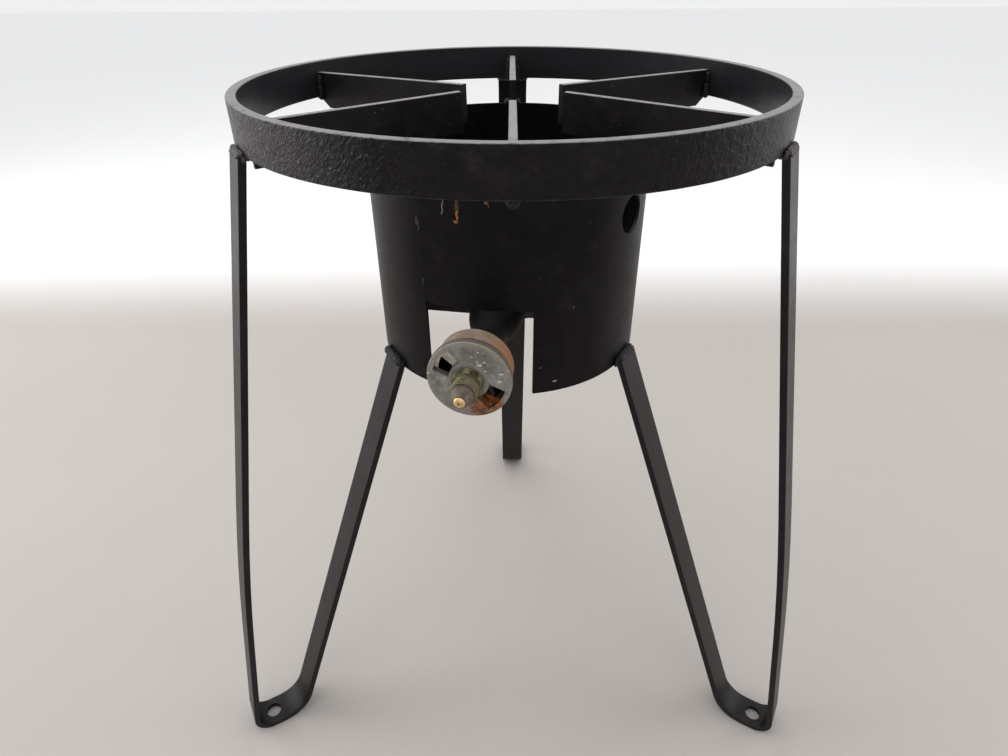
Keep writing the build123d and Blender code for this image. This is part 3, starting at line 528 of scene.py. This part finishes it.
# ---------------------------------------------------------------------------
# pot ring: rolled flat bar with a hammered, scaly skin
# ---------------------------------------------------------------------------
def ring_piece():
    hw, hh, e = RING_T / 2, RING_H / 2, EDGE
    prof = []
    corners = [(hw - e, -hh + e, -90), (hw - e, hh - e, 0), (-hw + e, hh - e, 90), (-hw + e, -hh + e, 180)]
    for cx, cz, a0 in corners:
        for k in range(5):
            a = math.radians(a0 + 90 * k / 4)
            prof.append((cx + e * math.cos(a), cz + e * math.sin(a), math.cos(a), math.sin(a)))
    dense = []
    n = len(prof)
    for i in range(n):
        p, q = prof[i], prof[(i + 1) % n]
        d = math.hypot(q[0] - p[0], q[1] - p[1])
        m = max(1, int(d / 0.75))
        for k in range(m):
            f = k / m
            nx, nz = p[2] + (q[2] - p[2]) * f, p[3] + (q[3] - p[3]) * f
            l = math.hypot(nx, nz) or 1
            dense.append((p[0] + (q[0] - p[0]) * f, p[1] + (q[1] - p[1]) * f, nx / l, nz / l))
    NU, NV = 1440, len(dense)
    rm, zm = RING_R - RING_T / 2, H_TOP - RING_H / 2
    verts = []
    for i in range(NU):
        th = TAU * i / NU
        c, s = math.cos(th), math.sin(th)
        for (x, z, nx, nz) in dense:
            arc = th * RING_R
            if nx > 0.5:
                # slanting hammer flecks, strongest towards the left front
                u, v = arc * 0.82 + z * 0.57, -arc * 0.57 + z * 0.82
                f1 = noise.noise(Vector((u * 0.17, v * 0.62, 7.0)))
                f2 = noise.noise(Vector((u * 0.42, v * 1.30, 31.0)))
                f1 = abs(f1) * 2.0 - 0.35
                f3 = noise.noise(Vector((arc * 0.05, z * 0.09, 55.0)))
                strong = math.exp(-((((math.degrees(th) - 234 + 180) % 360) - 180) / 27.0) ** 2)
                amp = 0.30 + 0.25 * f3 + 1.0 * strong
                dep = 0.13 + amp * (0.24 * f1 + 0.18 * f2)
            else:
                f1 = noise.noise(Vector((arc * 0.06, z * 0.16, 91.0 + 3 * nx)))
                f2 = noise.noise(Vector((arc * 0.33, z * 0.45, 71.0 + 3 * nx)))
                dep = 0.06 + 0.05 * f1 + 0.022 * f2
            dep = max(0.0, min(0.50, dep))
            r = rm + x - nx * dep
            zz = zm + z - nz * dep * 0.8
            verts.append((r * c / 1000, r * s / 1000, zz / 1000))
    o = new_object("pot_ring_forged", verts, grid_faces(NU, NV, True, True))
    fix_normals(o)
    dress(o, MAT["ring"])
    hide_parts("top_ring")
    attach(o, "stand")


ring_piece()


# ---------------------------------------------------------------------------
# welds: each CAD bead rounded off and made lumpy
# ---------------------------------------------------------------------------
def drop_crumbs(me, least):
    """Removes islands that have fewer faces than least."""
    bm = bmesh.new()
    bm.from_mesh(me)
    seen, crumbs = set(), []
    for f0 in bm.faces:
        if f0 in seen:
            continue
        seen.add(f0)
        island, todo = [], [f0]
        while todo:
            f = todo.pop()
            island.append(f)
            for e in f.edges:
                for g in e.link_faces:
                    if g not in seen:
                        seen.add(g)
                        todo.append(g)
        if len(island) < least:
            crumbs += island
    if crumbs:
        bmesh.ops.delete(bm, geom=crumbs, context="FACES")
    bm.to_mesh(me)
    bm.free()


def lumpy(node, name, amp, voxel=0.00045, grow=0.00012, seed=0.0, look="weld"):
    src = NODES[node]
    o = bpy.data.objects.new(name, src.data.copy())
    bpy.context.scene.collection.objects.link(o)
    m = o.modifiers.new("vox", "REMESH")
    m.mode, m.voxel_size, m.adaptivity = "VOXEL", voxel, 0.0
    dg = bpy.context.evaluated_depsgraph_get()
    me = bpy.data.meshes.new_from_object(o.evaluated_get(dg))
    o.modifiers.clear()
    drop_crumbs(me, 150)
    o.data = me
    co = np.zeros(len(me.vertices) * 3)
    me.vertices.foreach_get("co", co)
    co = co.reshape(-1, 3)
    nr = np.zeros(len(me.vertices) * 3)
    me.vertices.foreach_get("normal", nr)
    nr = nr.reshape(-1, 3)
    out = co.copy()
    for i in range(len(co)):
        p = co[i] * 1000
        a = noise.noise(Vector((p[0] * 0.42 + seed, p[1] * 0.42, p[2] * 0.42)))
        b = noise.noise(Vector((p[0] * 1.15, p[1] * 1.15 + seed, p[2] * 1.15)))
        d = grow + amp * (0.75 * a + 0.35 * b)
        out[i] = co[i] + nr[i] * d
        if node == "bar_to_ring_welds" and p[1] < -160 and p[2] < 495.3:
            out[i][0] *= 1 - 0.45 * min(1.0, (495.3 - p[2]) / 2.0)
    me.vertices.foreach_set("co", out.reshape(-1))
    me.update()
    me.polygons.foreach_set("use_smooth", [True] * len(me.polygons))
    dress(o, MAT[look])
    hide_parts(node)
    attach(o, "stand")
    return o


lumpy("leg_to_ring_welds", "weld_leg_to_ring", 0.0006, grow=-0.00055, seed=3.0, look="weld_pale")
lumpy("leg_to_shroud_welds", "weld_leg_to_shroud", 0.0008, grow=-0.0002, seed=11.0)
lumpy("bar_to_ring_welds", "weld_bar_to_ring", 0.0007, grow=-0.00010, seed=23.0, look="weld_dark")
lumpy("bar_to_shroud_welds", "weld_bar_to_shroud", 0.0008, seed=31.0, look="weld_dark")
lumpy("shroud_seam_welds", "weld_shroud_seam", 0.0010, voxel=0.00035, grow=-0.0003, seed=43.0, look="weld_dark")
lumpy("cross_bar_welds", "weld_cross_bar", 0.0009, seed=51.0)


# ---------------------------------------------------------------------------
# gas fitting with its thread
# ---------------------------------------------------------------------------
def fitting_piece():
    HUB0, HUB1 = 127.0, 139.0
    HX0, HX1, AF = 146.35, 152.4, 17.46
    PITCH, CREST, ROOT = 1.411, 7.94, 7.12
    T0, T1 = 153.9, 162.2
    outline = [(128.0, 0.0), (128.0, 4.86), (139.0, 4.86), (139.0, 5.0), (HX0, 5.0), (HX0, 7.0)]
    hexp = samples([(HX0, 8.0), (HX0 + 0.9, 10.2), (HX1 - 1.0, 10.2), (HX1, 7.6)], 0.35)
    neck = [(HX1 + 0.5, 7.2), (HX1 + 1.0, 7.0)]
    thr = [(T0 + i * 0.09, 7.5) for i in range(int((T1 - T0) / 0.09) + 1)]
    nose = samples([(162.5, 7.05), (163.3, 6.95), (168.2, 4.65), (168.7, 4.3), (168.9, 3.95), (168.85, 3.55), (167.9, 3.5), (160.0, 3.5), (160.0, 0.0)], 0.5)
    prof = outline + hexp + neck + thr + nose
    n_hex0, n_hex1 = len(outline), len(outline) + len(hexp)
    n_th0 = n_hex1 + len(neck)
    n_th1 = n_th0 + len(thr)

    def rad(x, r, th, k):
        if n_hex0 <= k < n_hex1:
            a = ((th + math.pi / 6) % (math.pi / 3)) - math.pi / 6
            flat = AF / 2 / math.cos(a)
            rr = min(r, flat)
            rr = min(rr, 9.45)
            return rr - 0.03 * noise.noise(Vector((x * 2, 4 * math.cos(th), 4 * math.sin(th))))
        if n_th0 <= k < n_th1:
            ph = ((x - T0) / PITCH - th / TAU) % 1.0
            tri = 1 - abs(ph * 2 - 1)
            w = min(1.0, max(0.0, (tri - 0.12) / 0.70))
            fade = min(1.0, (x - T0) / 0.5) * min(1.0, (T1 - x) / 0.6)
            worn = 0.06 * noise.noise(Vector((x * 1.5, 6 * math.cos(th), 6 * math.sin(th))))
            rr = ROOT + (CREST - ROOT) * w * (0.35 + 0.65 * fade) - max(0, worn)
            return min(rr, CREST)
        if k >= n_th1 and r > 3.6:
            return r - 0.05 * (noise.noise(Vector((x * 1.2, 5 * math.cos(th), 5 * math.sin(th)))) + 0.4)
        return r

    o = lathe_x("gas_fitting_threaded", prof, 240, rad)
    sharpen(o, 38)
    dress(o, MAT["fitting"])
    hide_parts("flare_fitting")
    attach(o, "stand")


fitting_piece()


# ---------------------------------------------------------------------------
# burner bolt: hexagon head, plain shank, thread where it passes the nut
# ---------------------------------------------------------------------------
def bolt_piece():
    lo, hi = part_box("burner_bolt")
    zb, zt = lo.z * 1000, hi.z * 1000
    head_h, AF, R = 5.2, 12.7, 3.97
    z_head = zt - head_h
    PITCH, DEP = 1.27, 0.62
    z_thr = zb + 24.0
    prof = [(zb, 0.0), (zb, R - 0.9), (zb + 0.4, R - 0.6)]
    n0 = len(prof)
    prof += [(zb + 0.4 + i * 0.09, R) for i in range(1, int((z_thr - zb - 0.4) / 0.09))]
    n1 = len(prof)
    prof += [(z_thr + 0.3, R), (z_head - 0.01, R), (z_head, R + 0.4), (z_head, 5.8)]
    n2 = len(prof)
    prof += samples([(z_head, 6.3), (z_head + 0.3, 7.3), (z_head + 3.9, 7.3), (zt - 0.5, 6.6), (zt, 5.9)], 0.4)
    n3 = len(prof)
    prof += [(zt, 5.3), (zt - 0.15, 4.9), (zt - 0.15, 0.0)]
    nth = 144
    verts = []
    for i in range(nth):
        th = TAU * i / nth
        for k, (z, r) in enumerate(prof):
            rr = r
            if n0 <= k < n1:
                ph = ((z - zb) / PITCH - th / TAU) % 1.0
                tri = 1 - abs(ph * 2 - 1)
                w = min(1.0, max(0.0, (tri - 0.1) / 0.75))
                rr = R - DEP + DEP * w
            elif n2 <= k < n3:
                a = ((th + math.pi / 6) % (math.pi / 3)) - math.pi / 6
                rr = min(r, AF / 2 / math.cos(a))
            verts.append((B_X / 1000 + rr * math.cos(th) / 1000, B_Y / 1000 + rr * math.sin(th) / 1000, z / 1000))
    o = new_object("burner_bolt_threaded", verts, grid_faces(nth, len(prof)))
    bm = bmesh.new()
    bm.from_mesh(o.data)
    bmesh.ops.remove_doubles(bm, verts=bm.verts, dist=1e-6)
    bmesh.ops.recalc_face_normals(bm, faces=bm.faces)
    bm.to_mesh(o.data)
    bm.free()
    sharpen(o, 38)
    dress(o, MAT["steel"])
    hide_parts("burner_bolt")
    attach(o, "stand")


bolt_piece()

# ---------------------------------------------------------------------------
# stage: pale floor that fades to white behind the object, as a studio sweep does
# ---------------------------------------------------------------------------
def floor():
    R = 9.0
    o = new_object("floor", [(-R, -R, 0), (R, -R, 0), (R, R, 0), (-R, R, 0)], [(0, 1, 2, 3)], smooth=False)
    o.location.z = -0.0002
    M = Mat("floor_pale")
    a = M.noise(3.0, 3.0, 0.5)
    b = M.noise(60.0, 4.0, 0.6)
    g = M.mix(M.ramp(a, 0.2, 0.8), (0.445, 0.412, 0.385), (0.462, 0.428, 0.402))
    g = M.mix(M.ramp(b, 0.3, 0.7, 0.0, 0.10), g, (0.50, 0.465, 0.44))
    wall = M.ramp(M.sep.outputs["Y"], 0.60, 1.05)
    col = M.mix(wall, g, (0.93, 0.93, 0.93))
    M.finish(col, 0.6, M.bump(b, 0.0002, 1.0), None, spec=0.2)
    dress(o, M.m)


floor()

# ---------------------------------------------------------------------------
# light: white surroundings and three soft boxes
# ---------------------------------------------------------------------------
w = bpy.data.worlds.new("studio")
bpy.context.scene.world = w
w.use_nodes = True
nt = w.node_tree
nt.nodes.clear()
wo = nt.nodes.new("ShaderNodeOutputWorld")
bg = nt.nodes.new("ShaderNodeBackground")
bg.inputs["Color"].default_value = (0.985, 0.99, 1.0, 1.0)
bg.inputs["Strength"].default_value = 0.88
nt.links.new(bg.outputs[0], wo.inputs["Surface"])


def soft(name, loc, target, sx, sy, power, col=(1, 1, 1)):
    l = bpy.data.lights.new(name, "AREA")
    l.shape, l.size, l.size_y, l.energy, l.color = "RECTANGLE", sx, sy, power, col
    o = bpy.data.objects.new(name, l)
    bpy.context.scene.collection.objects.link(o)
    o.location = loc
    d = Vector(target) - Vector(loc)
    o.rotation_mode = "QUATERNION"
    o.rotation_quaternion = d.to_track_quat("-Z", "Y")
    o.visible_camera = False
    return o


soft("top_box", (-0.4, 0.3, 2.3), (0, 0, 0.3), 1.8, 1.8, 16.0)
soft("left_box", (-1.9, 0.2, 1.0), (0, 0, 0.35), 1.4, 1.6, 16.0)
soft("right_box", (1.9, 0.3, 1.0), (0, 0, 0.35), 1.2, 1.4, 8.0)

# ---------------------------------------------------------------------------
# camera at the photograph's place
# ---------------------------------------------------------------------------
CAM_C = (-0.00063, -0.46652, 0.58831)
CAM_M = ((0.999932, 0.010025, -0.00603), (-0.000374, 0.542611, 0.839985), (0.011693, -0.839925, 0.542577))
F_PX = 655.76
cam = bpy.data.cameras.new("camera")
cam.sensor_fit, cam.sensor_width = "HORIZONTAL", 36.0
cam.lens = F_PX / 1008 * 36.0
cam.clip_start, cam.clip_end = 0.01, 100.0
co = bpy.data.objects.new("camera", cam)
bpy.context.scene.collection.objects.link(co)
mw = Matrix(((CAM_M[0][0], CAM_M[1][0], CAM_M[2][0], CAM_C[0]), (CAM_M[0][1], CAM_M[1][1], CAM_M[2][1], CAM_C[1]),
             (CAM_M[0][2], CAM_M[1][2], CAM_M[2][2], CAM_C[2]), (0, 0, 0, 1)))
co.rotation_mode = "QUATERNION"
co.location = mw.to_translation()
co.rotation_quaternion = mw.to_quaternion()
bpy.context.scene.camera = co
bpy.context.scene.view_settings.view_transform = "Standard"
bpy.context.scene.view_settings.look = "None"

bpy.context.view_layer.update()
